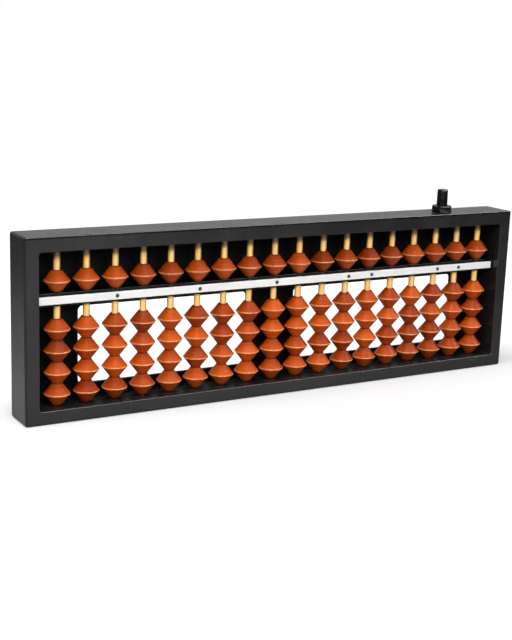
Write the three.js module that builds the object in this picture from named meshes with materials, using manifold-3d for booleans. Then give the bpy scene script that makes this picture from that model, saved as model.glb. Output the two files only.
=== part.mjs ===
// A desk abacus with 18 rods, one bead above the beam and four below, and a reset button in its top rail.
// Millimetres. X runs along the length, Y from the front to the back, Z up.
// The origin is under the middle of the frame, on the face that the frame stands on.
import * as THREE from 'three';
import { mergeVertices } from 'three/addons/utils/BufferGeometryUtils.js';
import Module from 'manifold-3d';

const wasm = await Module();
wasm.setup();

// Frame
const LENGTH = 275;
const HEIGHT = 86;
const FRONT_Y = -10;
const FRAME_BACK_Y = 9.2;
const PAD_BACK_Y = 10;
const SIDE_RAIL = 6.75;
const TOP_RAIL = 7.05;
const BOTTOM_RAIL = 6.6;
const CORNER_RADIUS = 1.2;
const EDGE_BEVEL = 0.8;
const GAP = 0.3;
const REBATE_Y = 7;
const REBATE_LIP = 1.5;
const INNER_X = LENGTH / 2 - SIDE_RAIL;
const INNER_TOP = HEIGHT - TOP_RAIL;

// Columns
const COLUMNS = 18;
const PITCH = 14.2;
const PATTERN_X = 1.5;
const ROD_Y = -1;
const ROD_RADIUS = 1.6;
const SOCKET_DEPTH = 4.2;
const HOLE_RADIUS = 1.95;
const ROD_SIDES = 8;
const TIE_DEPTH = 1.2;
const TIE_HEIGHT = 1;

// Beads
const BEAD_RADIUS = 6.1;
const BEAD_HEIGHT = 10.1;
const NECK_RADIUS = 2.45;
const RIM_HALF = 0.45;
const BEAD_SIDES = 10;
const LOWER_BEADS = 4;
const BEAD_REST_GAP = 0.15;

// Beam, its white strip and the two clearing bars
const BEAM_LOW = 54.3;
const BEAM_HIGH = 57.9;
const BEAM_FRONT_Y = -3.9;
const BEAM_BACK_Y = 4.9;
const BEAM_WALL = 0.8;
const BEAM_FACE = 0.9;
const STRIP_FRONT_Y = -5.4;
const STRIP_END_GAP = 1;
const BAR_BACK_Y = 4.6;
const LOWER_BAR = 0.8;
const UPPER_BAR = 1;
const BAR_END_X = INNER_X - 0.55;
const TAB_BACK_Y = 6.7;
const TAB_FRONT_Y = 5.2;
const TRAVEL = 5.7;
const LOWER_BAR_TOP = BEAM_LOW - GAP;
const LOWER_BAR_LOW = LOWER_BAR_TOP - LOWER_BAR;
const UPPER_BAR_LOW = BEAM_HIGH + GAP;
const UPPER_BAR_TOP = UPPER_BAR_LOW + UPPER_BAR;
const TAB_WIDTH = 1.6;
const ARM_INSET = 0.5;
const WELD = 0.1;

// Side channels, racks and pinions
const CHANNEL_IN_X = INNER_X + 1.3;
const CHANNEL_OUT_X = LENGTH / 2 - 1.5;
const CHANNEL_FRONT_Y = -8;
const CHANNEL_LOW = 33;
const CHANNEL_HIGH = 80;
const GEAR_X = (CHANNEL_IN_X + CHANNEL_OUT_X) / 2;
const GEAR_Y = -0.5;
const GEAR_Z = 67;
const GEAR_WIDTH = 2.6;
const TEETH = 10;
const PITCH_RADIUS = 4.5;
const TOOTH_PITCH = 2 * Math.PI * PITCH_RADIUS / TEETH;
const ADDENDUM = 0.8;
const DEDENDUM = 1.15;
const RACK_WIDTH = 2.8;
const RACK_BACK = 2.7;
const LOWER_RACK_HIGH = GEAR_Z + TRAVEL + 3.3;
const UPPER_RACK_HIGH = GEAR_Z + 3;
const PIN_RADIUS = 1;
const PIN_HOLE_RADIUS = 1.3;
const PIN_INSET = 0.55;

// Reset button
const BUTTON_X = 95.8;
const BUTTON_Y = -2;
const BUTTON_RADIUS = 2.85;
const BUTTON_TOP = 98.1;
const BUTTON_LOW = 85.2;
const COLLAR_RADIUS = 5.1;
const COLLAR_TOP = 89.5;
const COLLAR_BORE = 3.15;
const COLLAR_STEM = 4.2;
const COLLAR_LOW = 84.9;
const CHAMFER = 0.5;
const FOOT_LEFT = 97.5;
const FOOT_RIGHT = 103.4;
const FOOT_FRONT_Y = BUTTON_Y - 3;
const FOOT_LOW = 83;
const FOOT_HIGH = 84.3;
const RISER_RIGHT = 98.4;
const RELIEF_RIGHT = 95.75;
const RELIEF_TOP = 88.9;

// Back panel, screws and pads
const PANEL_FRONT_Y = REBATE_Y + GAP;
const PANEL_X = LENGTH / 2 - REBATE_LIP - GAP;
const PANEL_LOW = REBATE_LIP + GAP;
const PANEL_HIGH = HEIGHT - REBATE_LIP - GAP;
const WINDOW_LOW = 12.5;
const WINDOW_HIGH = 49.8;
const WINDOW_RADIUS = 2.3;
const WINDOWS = [[-105.6, -15.9], [11.4, 112.6]];
const SCREW_X = 122;
const SCREW_HEIGHTS = [4.2, 81.8];
const SCREW_TIP_Y = 2.5;
const SCREW_HEAD_Y = 8.4;
const SCREW_END_Y = 9;
const SHANK_RADIUS = 0.9;
const HEAD_RADIUS = 1.7;
const SEAT_RADIUS = 2;
const SCREW_HOLE = 1.2;
const PAD_X = 120.5;
const PAD_HEIGHTS = [16, 69];
const PAD_RADIUS = 4;
const PAD_LOW_Y = 9;

// Return springs
const SPRING_RADIUS = 1.25;
const SPRING_WIRE = 0.25;
const SPRING_LOW = CHANNEL_LOW + GAP;
const SPRING_HIGH = LOWER_BAR_LOW - GAP;
const SPRING_TURNS = 7;

const ABOUT_Z = new THREE.Matrix4().makeRotationX(Math.PI / 2);
const ALONG_X = new THREE.Matrix4().makeBasis(
  new THREE.Vector3(0, 1, 0),
  new THREE.Vector3(0, 0, 1),
  new THREE.Vector3(1, 0, 0),
);

const FINISH = {
  blackPlastic: { color: 0x26272a, roughness: 0.42, metalness: 0 },
  panelPlastic: { color: 0x17181a, roughness: 0.5, metalness: 0 },
  whitePlastic: { color: 0xf1f1ee, roughness: 0.35, metalness: 0 },
  glossPlastic: { color: 0x0d0d0f, roughness: 0.15, metalness: 0 },
  bead: { color: 0xb9471a, roughness: 0.4, metalness: 0 },
  bamboo: { color: 0xf2cd82, roughness: 0.6, metalness: 0 },
  acetal: { color: 0xe6e4da, roughness: 0.4, metalness: 0 },
  steel: { color: 0xa9adb2, roughness: 0.35, metalness: 1 },
  rubber: { color: 0x202020, roughness: 0.9, metalness: 0 },
};

const abacus = new THREE.Group();

function piece(name, geometry, finish) {
  const mesh = new THREE.Mesh(geometry, new THREE.MeshStandardMaterial(FINISH[finish]));
  mesh.name = name;
  abacus.add(mesh);
  return mesh;
}

function solid(geometry) {
  const bare = geometry.clone();
  bare.deleteAttribute('normal');
  bare.deleteAttribute('uv');
  const welded = mergeVertices(bare, 1e-4);
  return new wasm.Manifold(new wasm.Mesh({
    numProp: 3,
    vertProperties: new Float32Array(welded.attributes.position.array),
    triVerts: new Uint32Array(welded.index.array),
  }));
}

function geometryOf(manifold) {
  const made = manifold.getMesh();
  const geometry = new THREE.BufferGeometry();
  geometry.setAttribute('position', new THREE.BufferAttribute(made.vertProperties, 3));
  geometry.setIndex(new THREE.BufferAttribute(made.triVerts, 1));
  geometry.computeVertexNormals();
  return geometry;
}

function box(low, high) {
  const size = high.map((value, i) => value - low[i]);
  const geometry = new THREE.BoxGeometry(...size);
  return geometry.translate(...low.map((value, i) => value + size[i] / 2));
}

function rod(radius, low, high, sides) {
  const geometry = new THREE.CylinderGeometry(radius, radius, high - low, sides);
  return geometry.applyMatrix4(ABOUT_Z).translate(0, 0, (low + high) / 2);
}

function turned(outline, sides) {
  const points = outline.map(([r, along]) => new THREE.Vector2(r, along));
  return new THREE.LatheGeometry(points, sides);
}

function roundedRectangle(left, right, low, high, radius) {
  const shape = new THREE.Shape();
  shape.moveTo(left + radius, low);
  shape.lineTo(right - radius, low);
  shape.absarc(right - radius, low + radius, radius, -Math.PI / 2, 0);
  shape.lineTo(right, high - radius);
  shape.absarc(right - radius, high - radius, radius, 0, Math.PI / 2);
  shape.lineTo(left + radius, high);
  shape.absarc(left + radius, high - radius, radius, Math.PI / 2, Math.PI);
  shape.lineTo(left, low + radius);
  shape.absarc(left + radius, low + radius, radius, Math.PI, 1.5 * Math.PI);
  return shape;
}

// A shape drawn in X and Z, made solid from one Y to another.
function plate(shape, nearY, farY, bevel = 0) {
  const geometry = new THREE.ExtrudeGeometry(shape, {
    depth: farY - nearY - 2 * bevel,
    curveSegments: 3,
    bevelEnabled: bevel > 0,
    bevelThickness: bevel,
    bevelSize: bevel,
    bevelOffset: -bevel,
    bevelSegments: 2,
  });
  return geometry.applyMatrix4(ABOUT_Z).translate(0, farY - bevel, 0);
}

function columnX(column) {
  return PATTERN_X + (column - (COLUMNS - 1) / 2) * PITCH;
}

function numbered(column) {
  return String(column + 1).padStart(2, '0');
}

// Cuts a round hole for every rod out of a solid, between two heights.
function drilled(body, low, high) {
  let result = body;
  for (let column = 0; column < COLUMNS; column += 1) {
    const hole = rod(HOLE_RADIUS, low, high, ROD_SIDES).translate(columnX(column), ROD_Y, 0);
    result = result.subtract(solid(hole));
  }
  return result;
}

function makeFrame() {
  const outer = roundedRectangle(-LENGTH / 2, LENGTH / 2, 0, HEIGHT, CORNER_RADIUS);
  const inner = roundedRectangle(-INNER_X, INNER_X, BOTTOM_RAIL, INNER_TOP, CORNER_RADIUS);
  let frame = solid(plate(outer, FRONT_Y, FRAME_BACK_Y, EDGE_BEVEL));
  frame = frame.subtract(solid(plate(inner, FRONT_Y - 1, FRAME_BACK_Y + 1)));
  frame = frame.subtract(solid(box(
    [-LENGTH / 2 + REBATE_LIP, REBATE_Y, REBATE_LIP],
    [LENGTH / 2 - REBATE_LIP, FRAME_BACK_Y + 1, HEIGHT - REBATE_LIP],
  )));
  frame = drilled(frame, BOTTOM_RAIL - SOCKET_DEPTH, INNER_TOP + SOCKET_DEPTH);
  for (const side of [-1, 1]) {
    frame = frame.subtract(solid(sideBox(side, CHANNEL_IN_X, CHANNEL_OUT_X,
      CHANNEL_FRONT_Y, REBATE_Y + 1, CHANNEL_LOW, CHANNEL_HIGH)));
    frame = frame.subtract(solid(sideBox(side, INNER_X - 1, CHANNEL_IN_X + 0.1,
      BEAM_BACK_Y, REBATE_Y + 1, LOWER_BAR_LOW - TRAVEL - 0.5, UPPER_BAR_TOP + TRAVEL + 0.5)));
    frame = frame.subtract(solid(pinShape(side, PIN_HOLE_RADIUS, GAP)));
    for (const height of SCREW_HEIGHTS) {
      const hole = new THREE.CylinderGeometry(SCREW_HOLE, SCREW_HOLE, 6, 8);
      frame = frame.subtract(solid(hole.translate(side * SCREW_X, REBATE_Y - 2, height)));
    }
  }
  const button = [BUTTON_X, BUTTON_Y, 0];
  frame = frame.subtract(solid(rod(COLLAR_STEM + GAP, FOOT_HIGH + GAP, HEIGHT + 1, 24).translate(...button)));
  frame = frame.subtract(solid(rod(COLLAR_BORE, INNER_TOP - 1, HEIGHT, 24).translate(...button)));
  frame = frame.subtract(solid(box(
    [FOOT_LEFT - GAP, FOOT_FRONT_Y - GAP, INNER_TOP - 1],
    [FOOT_RIGHT + GAP, REBATE_Y + 1, FOOT_HIGH + GAP],
  )));
  piece('frame', geometryOf(frame), 'blackPlastic');
}

// A box on the left or right side, given by its distances from the middle.
function sideBox(side, nearX, farX, y0, y1, z0, z1) {
  const left = Math.min(side * nearX, side * farX);
  const right = Math.max(side * nearX, side * farX);
  return box([left, y0, z0], [right, y1, z1]);
}

function pinShape(side, radius, extra) {
  const length = CHANNEL_OUT_X - CHANNEL_IN_X + 2 * PIN_INSET + 2 * extra;
  const geometry = new THREE.CylinderGeometry(radius, radius, length, 12).rotateZ(Math.PI / 2);
  return geometry.translate(side * GEAR_X, GEAR_Y, GEAR_Z);
}

function makeBackPanel() {
  const shape = roundedRectangle(-PANEL_X, PANEL_X, PANEL_LOW, PANEL_HIGH, CORNER_RADIUS);
  for (const [left, right] of WINDOWS) {
    shape.holes.push(roundedRectangle(left, right, WINDOW_LOW, WINDOW_HIGH, WINDOW_RADIUS));
  }
  let panel = solid(plate(shape, PANEL_FRONT_Y, FRAME_BACK_Y));
  for (const x of [-SCREW_X, SCREW_X]) {
    for (const z of SCREW_HEIGHTS) {
      const hole = new THREE.CylinderGeometry(SCREW_HOLE, SCREW_HOLE, 6, 8).translate(x, FRAME_BACK_Y, z);
      const seat = new THREE.CylinderGeometry(SEAT_RADIUS, SEAT_RADIUS, 2, 16);
      seat.translate(x, FRAME_BACK_Y - 0.1, z);
      panel = panel.subtract(solid(hole)).subtract(solid(seat));
    }
  }
  for (const x of [-PAD_X, PAD_X]) {
    for (const z of PAD_HEIGHTS) {
      const seat = new THREE.CylinderGeometry(PAD_RADIUS + GAP, PAD_RADIUS + GAP, 1, 16);
      panel = panel.subtract(solid(seat.translate(x, FRAME_BACK_Y, z)));
    }
  }
  piece('back_panel', geometryOf(panel), 'panelPlastic');
}

function makeScrewsAndPads() {
  const screwOutline = [
    [0, SCREW_TIP_Y], [SHANK_RADIUS, SCREW_TIP_Y], [SHANK_RADIUS, SCREW_HEAD_Y],
    [HEAD_RADIUS, SCREW_HEAD_Y], [HEAD_RADIUS, SCREW_END_Y], [0, SCREW_END_Y],
  ];
  const padOutline = [[0, PAD_LOW_Y], [PAD_RADIUS, PAD_LOW_Y], [PAD_RADIUS, PAD_BACK_Y], [0, PAD_BACK_Y]];
  let number = 0;
  for (let row = 0; row < 2; row += 1) {
    for (const side of [-1, 1]) {
      number += 1;
      piece(`panel_screw_${number}`, turned(screwOutline, 10), 'steel')
        .position.set(side * SCREW_X, 0, SCREW_HEIGHTS[row]);
      piece(`rubber_pad_${number}`, turned(padOutline, 16), 'rubber')
        .position.set(side * PAD_X, 0, PAD_HEIGHTS[row]);
    }
  }
}

// The beam is a channel, open at the back, with a round hole for each rod in both flanges.
function makeBeam() {
  const end = INNER_X - GAP;
  const outside = box([-end, BEAM_FRONT_Y, BEAM_LOW], [end, BEAM_BACK_Y, BEAM_HIGH]);
  const hollow = box(
    [-end - 1, BEAM_FRONT_Y + BEAM_FACE, BEAM_LOW + BEAM_WALL],
    [end + 1, BEAM_BACK_Y + 1, BEAM_HIGH - BEAM_WALL],
  );
  const beam = drilled(solid(outside).subtract(solid(hollow)), BEAM_LOW - 1, BEAM_HIGH + 1);
  piece('beam', geometryOf(beam), 'blackPlastic');
  const stripEnd = INNER_X - STRIP_END_GAP;
  const strip = box([-stripEnd, STRIP_FRONT_Y, BEAM_LOW], [stripEnd, BEAM_FRONT_Y - GAP, BEAM_HIGH]);
  piece('beam_strip', strip, 'whitePlastic');
}

// The 18 rods, joined by a thin tie inside the beam.
function makeRods() {
  const low = BOTTOM_RAIL - SOCKET_DEPTH + GAP;
  const high = INNER_TOP + SOCKET_DEPTH - GAP;
  const middle = (BEAM_LOW + BEAM_HIGH) / 2;
  let rods = solid(box(
    [columnX(0), ROD_Y - TIE_DEPTH / 2, middle - TIE_HEIGHT / 2],
    [columnX(COLUMNS - 1), ROD_Y + TIE_DEPTH / 2, middle + TIE_HEIGHT / 2],
  ));
  for (let column = 0; column < COLUMNS; column += 1) {
    rods = rods.add(solid(rod(ROD_RADIUS, low, high, ROD_SIDES).translate(columnX(column), ROD_Y, 0)));
  }
  piece('rods', geometryOf(rods), 'bamboo');
}

// One closed outline turned round the rod: a bore, and a double cone for each bead.
function beadOutline(count) {
  const outline = [[HOLE_RADIUS, 0], [NECK_RADIUS, 0]];
  for (let bead = 0; bead < count; bead += 1) {
    const rim = (bead + 0.5) * BEAD_HEIGHT;
    outline.push([BEAD_RADIUS, rim - RIM_HALF], [BEAD_RADIUS, rim + RIM_HALF]);
    outline.push([NECK_RADIUS, (bead + 1) * BEAD_HEIGHT]);
  }
  outline.push([HOLE_RADIUS, count * BEAD_HEIGHT], [HOLE_RADIUS, 0]);
  return outline;
}

function makeBeads() {
  const upperLow = UPPER_BAR_TOP + BEAD_REST_GAP;
  const lowerLow = BOTTOM_RAIL + BEAD_REST_GAP;
  for (let column = 0; column < COLUMNS; column += 1) {
    const upper = turned(beadOutline(1), BEAD_SIDES).applyMatrix4(ABOUT_Z);
    piece(`upper_bead_${numbered(column)}`, upper, 'bead').position.set(columnX(column), ROD_Y, upperLow);
  }
  for (let column = 0; column < COLUMNS; column += 1) {
    const lower = turned(beadOutline(LOWER_BEADS), BEAD_SIDES).applyMatrix4(ABOUT_Z);
    piece(`lower_beads_${numbered(column)}`, lower, 'bead').position.set(columnX(column), ROD_Y, lowerLow);
  }
}

function makeButton() {
  const outline = [
    [0, BUTTON_LOW], [BUTTON_RADIUS, BUTTON_LOW], [BUTTON_RADIUS, BUTTON_TOP - CHAMFER],
    [BUTTON_RADIUS - CHAMFER, BUTTON_TOP], [0, BUTTON_TOP],
  ];
  const cap = turned(outline, 24).applyMatrix4(ABOUT_Z).translate(BUTTON_X, BUTTON_Y, 0);
  // The stem is cut away on the left, so that it passes the end of the rod beside it.
  const relief = box(
    [BUTTON_X - BUTTON_RADIUS - 1, BUTTON_Y - BUTTON_RADIUS - 1, BUTTON_LOW - 1],
    [RELIEF_RIGHT, BUTTON_Y + BUTTON_RADIUS + 1, RELIEF_TOP],
  );
  const riser = box([FOOT_LEFT, BUTTON_Y - 1, FOOT_LOW], [RISER_RIGHT, BUTTON_Y + 1, BUTTON_LOW + 1]);
  const foot = box([FOOT_LEFT, FOOT_FRONT_Y, FOOT_LOW], [FOOT_RIGHT, TAB_BACK_Y, FOOT_HIGH]);
  const button = solid(cap).subtract(solid(relief)).add(solid(riser)).add(solid(foot));
  piece('reset_button', geometryOf(button), 'glossPlastic');

  const collar = [
    [COLLAR_BORE, COLLAR_LOW], [COLLAR_STEM, COLLAR_LOW],
    [COLLAR_STEM, HEIGHT + GAP], [COLLAR_RADIUS, HEIGHT + GAP],
    [COLLAR_RADIUS, COLLAR_TOP - CHAMFER], [COLLAR_RADIUS - CHAMFER, COLLAR_TOP],
    [COLLAR_BORE, COLLAR_TOP], [COLLAR_BORE, COLLAR_LOW],
  ];
  piece('button_collar', turned(collar, 24).applyMatrix4(ABOUT_Z), 'glossPlastic')
    .position.set(BUTTON_X, BUTTON_Y, 0);

  const pushRod = box(
    [FOOT_LEFT + GAP, TAB_FRONT_Y, LOWER_BAR_TOP + GAP],
    [FOOT_RIGHT - GAP, TAB_BACK_Y, FOOT_LOW - GAP],
  );
  piece('push_rod', pushRod, 'blackPlastic');
}

// Half the width of a tooth of the rack or the pinion, by its height above the pitch line.
const HALF_TOOTH = (TOOTH_PITCH / 2 - 0.3) / 2;
const RACK_SLOPE = 0.4;
const PINION_TIP_HALF = 0.2;
const PINION_ROOT_HALF = 0.72;

// A toothed strip in Y and Z. The teeth point along facing, and a gap between teeth is at the pinion's height.
function rackShape(facing, low, high) {
  const pitchY = GEAR_Y - facing * PITCH_RADIUS;
  const at = (offset, z) => new THREE.Vector2(pitchY + facing * offset, z);
  const tip = HALF_TOOTH - RACK_SLOPE * ADDENDUM;
  const root = HALF_TOOTH + RACK_SLOPE * DEDENDUM;
  const points = [at(-RACK_BACK, high), at(-RACK_BACK, low), at(-DEDENDUM, low)];
  const first = Math.ceil((low + root - GEAR_Z) / TOOTH_PITCH - 0.5);
  const last = Math.floor((high - root - GEAR_Z) / TOOTH_PITCH - 0.5);
  for (let tooth = first; tooth <= last; tooth += 1) {
    const middle = GEAR_Z + (tooth + 0.5) * TOOTH_PITCH;
    points.push(at(-DEDENDUM, middle - root), at(ADDENDUM, middle - tip));
    points.push(at(ADDENDUM, middle + tip), at(-DEDENDUM, middle + root));
  }
  points.push(at(-DEDENDUM, high));
  return new THREE.Shape(facing > 0 ? points : points.reverse());
}

function alongX(shape, side, width) {
  const geometry = new THREE.ExtrudeGeometry(shape, { depth: width, bevelEnabled: false });
  return geometry.applyMatrix4(ALONG_X).translate(side * GEAR_X - width / 2, 0, 0);
}

function pinionShape() {
  const shape = new THREE.Shape();
  const corners = [
    [PITCH_RADIUS - DEDENDUM, -PINION_ROOT_HALF], [PITCH_RADIUS + ADDENDUM, -PINION_TIP_HALF],
    [PITCH_RADIUS + ADDENDUM, PINION_TIP_HALF], [PITCH_RADIUS - DEDENDUM, PINION_ROOT_HALF],
  ];
  for (let tooth = 0; tooth < TEETH; tooth += 1) {
    const turn = 2 * Math.PI * tooth / TEETH;
    for (const [out, across] of corners) {
      const y = out * Math.cos(turn) - across * Math.sin(turn);
      const z = out * Math.sin(turn) + across * Math.cos(turn);
      if (tooth === 0 && across === -PINION_ROOT_HALF) {
        shape.moveTo(y, z);
      } else {
        shape.lineTo(y, z);
      }
    }
  }
  shape.holes.push(new THREE.Path().absarc(0, 0, PIN_HOLE_RADIUS, 0, 2 * Math.PI, true));
  return shape;
}

// A thin bar under or over the beam. At each end a tab passes behind the beads into the side channel,
// where a cross plate carries a rack.
function clearingBar(low, high, crossFront, facing, rackHigh) {
  let bar = solid(box([-BAR_END_X, BEAM_FRONT_Y, low], [BAR_END_X, BAR_BACK_Y, high]));
  bar = drilled(bar, low - 1, high + 1);
  for (const side of [-1, 1]) {
    const tab = sideBox(side, BAR_END_X - TAB_WIDTH, BAR_END_X, 0, TAB_BACK_Y, low, high);
    const arm = sideBox(side, BAR_END_X - WELD, CHANNEL_IN_X + ARM_INSET, TAB_FRONT_Y, TAB_BACK_Y, low, high);
    const cross = sideBox(side, CHANNEL_IN_X + GAP, CHANNEL_OUT_X - GAP, crossFront, TAB_BACK_Y, low, high);
    const rack = alongX(rackShape(facing, low, rackHigh), side, RACK_WIDTH);
    bar = bar.add(solid(tab)).add(solid(arm)).add(solid(cross)).add(solid(rack));
  }
  return bar;
}

function makeResetMechanism() {
  const pressTab = box([FOOT_LEFT + GAP, 0, LOWER_BAR_LOW], [FOOT_RIGHT - GAP, TAB_BACK_Y, LOWER_BAR_TOP]);
  const lowerFront = GEAR_Y - PITCH_RADIUS - RACK_BACK;
  const lowerBar = clearingBar(LOWER_BAR_LOW, LOWER_BAR_TOP, lowerFront, 1, LOWER_RACK_HIGH);
  piece('lower_clearing_bar', geometryOf(lowerBar.add(solid(pressTab))), 'blackPlastic');
  const upperBar = clearingBar(UPPER_BAR_LOW, UPPER_BAR_TOP, TAB_FRONT_Y, -1, UPPER_RACK_HIGH);
  piece('upper_clearing_bar', geometryOf(upperBar), 'blackPlastic');

  for (const [side, label] of [[-1, 'left'], [1, 'right']]) {
    const gear = new THREE.ExtrudeGeometry(pinionShape(), {
      depth: GEAR_WIDTH, bevelEnabled: false, curveSegments: 8,
    });
    gear.applyMatrix4(ALONG_X).translate(-GEAR_WIDTH / 2, 0, 0);
    piece(`${label}_pinion`, gear, 'acetal').position.set(side * GEAR_X, GEAR_Y, GEAR_Z);
    piece(`${label}_pinion_pin`, pinShape(side, PIN_RADIUS, 0), 'steel');
    piece(`${label}_return_spring`, springGeometry(), 'steel').position.set(side * GEAR_X, GEAR_Y, 0);
  }
}

// A round wire wound at constant pitch.
class Helix extends THREE.Curve {
  getPoint(t, target = new THREE.Vector3()) {
    const turn = 2 * Math.PI * SPRING_TURNS * t;
    const low = SPRING_LOW + SPRING_WIRE;
    const high = SPRING_HIGH - SPRING_WIRE;
    return target.set(
      SPRING_RADIUS * Math.cos(turn),
      SPRING_RADIUS * Math.sin(turn),
      low + (high - low) * t,
    );
  }
}

function springGeometry() {
  const section = new THREE.Shape();
  section.absarc(0, 0, SPRING_WIRE, 0, 2 * Math.PI);
  return new THREE.ExtrudeGeometry(section, {
    steps: SPRING_TURNS * 10, curveSegments: 3, bevelEnabled: false, extrudePath: new Helix(),
  });
}

makeFrame();
makeBackPanel();
makeBeam();
makeRods();
makeButton();
makeResetMechanism();
makeScrewsAndPads();
makeBeads();

export default abacus;
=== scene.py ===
import math

import bmesh
import bpy
from mathutils import Matrix, Vector


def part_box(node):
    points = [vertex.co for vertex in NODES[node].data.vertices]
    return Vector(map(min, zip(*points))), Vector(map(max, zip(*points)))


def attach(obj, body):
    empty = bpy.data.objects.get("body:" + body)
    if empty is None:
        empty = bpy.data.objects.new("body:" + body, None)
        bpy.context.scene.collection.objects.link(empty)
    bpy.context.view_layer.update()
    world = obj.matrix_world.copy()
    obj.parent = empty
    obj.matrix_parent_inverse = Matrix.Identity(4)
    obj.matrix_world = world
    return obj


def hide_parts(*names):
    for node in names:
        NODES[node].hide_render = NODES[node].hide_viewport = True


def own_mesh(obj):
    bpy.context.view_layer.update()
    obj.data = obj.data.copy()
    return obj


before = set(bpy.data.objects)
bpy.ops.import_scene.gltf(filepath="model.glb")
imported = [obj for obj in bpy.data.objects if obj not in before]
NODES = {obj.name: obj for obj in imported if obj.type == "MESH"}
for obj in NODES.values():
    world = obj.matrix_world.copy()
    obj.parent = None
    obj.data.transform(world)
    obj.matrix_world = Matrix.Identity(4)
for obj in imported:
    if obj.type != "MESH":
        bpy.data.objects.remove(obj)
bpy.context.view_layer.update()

# A desk abacus: black moulded case, windowed back panel, white-faced beam, bamboo rods, orange beads,
# and a reset button that works two clearing bars. Everything is in metres, in the CAD frame.

MM = 0.001


# ---------------------------------------------------------------- sizes

def middle(node):
    low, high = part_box(node)
    return (low + high) / 2


CASE_LOW, CASE_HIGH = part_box("frame")
BEAM_LOW, BEAM_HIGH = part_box("beam")
STRIP_LOW, STRIP_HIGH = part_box("beam_strip")
PANEL_LOW, PANEL_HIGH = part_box("back_panel")
UPPER_BAR_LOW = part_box("upper_clearing_bar")[0].z
LOWER_BAR_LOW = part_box("lower_clearing_bar")[0].z
BAR_FRONT = BEAM_LOW.y

COLUMN_NAMES = [f"{number:02d}" for number in range(1, 19)]
COLUMN_X = [middle("upper_bead_" + name).x for name in COLUMN_NAMES]
PITCH = (COLUMN_X[-1] - COLUMN_X[0]) / (len(COLUMN_X) - 1)
ROD_Y = middle("upper_bead_01").y
ROD_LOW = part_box("rods")[0].z
ROD_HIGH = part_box("rods")[1].z

SIDE_RAIL = 6.75 * MM
TOP_RAIL = 7.05 * MM
BOTTOM_RAIL = 6.6 * MM
INNER_X = CASE_HIGH.x - SIDE_RAIL
INNER_LOW = CASE_LOW.z + BOTTOM_RAIL
INNER_HIGH = CASE_HIGH.z - TOP_RAIL
REBATE_Y = 7.0 * MM
REBATE_LIP = 1.5 * MM
CASE_ROUNDING = 1.25 * MM

ROD_RADIUS = 1.6 * MM
ROD_HOLE = 1.95 * MM
ROD_SOCKET = 4.2 * MM

BEAD_RADIUS = 6.1 * MM
BEAD_HEIGHT = 10.1 * MM
BEAD_NECK = 2.45 * MM
BEAD_BORE = 1.72 * MM
BEAD_RIM = 0.5 * MM
LOWER_BEADS = 4

BUTTON_RADIUS = 2.85 * MM
BUTTON_AXIS = Vector((95.8, -2.0, 0)) * MM
BUTTON_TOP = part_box("reset_button")[1].z
BUTTON_LOW = 85.2 * MM
RELIEF_RIGHT = 95.75 * MM
RELIEF_TOP = 88.9 * MM

WINDOW_EDGES = [(-105.6 * MM, -15.9 * MM), (11.4 * MM, 112.6 * MM)]
WINDOW_LOW = 12.5 * MM
WINDOW_HIGH = 49.8 * MM
WINDOW_ROUNDING = 2.3 * MM

DOTTED_COLUMNS = (3, 6, 9, 12, 13, 16, 17)
DOT_RADIUS = 0.95 * MM
DOT_SHIFT = -0.75 * MM
PRESS_TRAVEL = 5.7 * MM

CHANNEL_FRONT = -8.0 * MM
CHANNEL_LOW = 33.0 * MM
CHANNEL_HIGH = 80.0 * MM
COLLAR_SEAT = 84.6 * MM
PUSH_ROD_LOW = 78.0 * MM

BAR_END = 128.5 * MM
BAR_BACK = 4.6 * MM
LOWER_BAR_THICK = 0.8 * MM
UPPER_BAR_THICK = 1.0 * MM
PUSH_ROD_TAB = (97.8 * MM, 103.1 * MM, 6.7 * MM)

WELD = 1e-7
BEAD_SIDES = 64
FLOOR_REACH = 12.0

FLOOR_GLOW = 0.30
FLOOR_GLOW_BEHIND = 0.75
AIR_LIGHT = 0.14
CAMERA_PLACE = (-0.3190, -0.5151, 0.1769)
CAMERA_TURN = -30.594
CAMERA_TILT = 90 - 13.190
CAMERA_ROLL = 1.983
CAMERA_LENS = 69.87


# ---------------------------------------------------------------- node helpers

def grey(value):
    return (value, value, value, 1)


def add(tree, kind, inputs=None, **settings):
    """Adds a node. An input's value is a number, a colour or the socket that feeds it."""
    made = tree.nodes.new(kind)
    for name, value in settings.items():
        setattr(made, name, value)
    for name, value in (inputs or {}).items():
        if isinstance(value, bpy.types.NodeSocket):
            tree.links.new(value, made.inputs[name])
        else:
            made.inputs[name].default_value = value
    return made


def maths(tree, operation, first, second=0.0, third=0.0):
    return add(tree, "ShaderNodeMath", {0: first, 1: second, 2: third}, operation=operation).outputs[0]


def in_range(tree, value, low, high, to_low=0.0, to_high=1.0):
    """A value's place between low and high, as a number between to_low and to_high."""
    made = add(tree, "ShaderNodeMapRange", {
        "Value": value, "From Min": low, "From Max": high, "To Min": to_low, "To Max": to_high,
    })
    return made.outputs["Result"]


def noise(tree, place, scale, detail=2.0, roughness=0.5):
    return add(tree, "ShaderNodeTexNoise", {
        "Vector": place, "Scale": scale, "Detail": detail, "Roughness": roughness,
    }).outputs["Fac"]


def blend_colour(tree, share, first, second):
    """For colours, the Mix node's inputs are 0, 6 and 7, and its result is output 2."""
    return add(tree, "ShaderNodeMix", {0: share, 6: first, 7: second}, data_type="RGBA").outputs[2]


def vector_maths(tree, operation, first, second):
    return add(tree, "ShaderNodeVectorMath", {0: first, 1: second}, operation=operation).outputs[0]


def stretched(tree, place, factors):
    return vector_maths(tree, "MULTIPLY", place, factors)


def coordinates(tree, place):
    return add(tree, "ShaderNodeSeparateXYZ", {0: place}).outputs


def attribute(tree, name):
    return add(tree, "ShaderNodeAttribute", attribute_name=name).outputs["Fac"]


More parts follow.
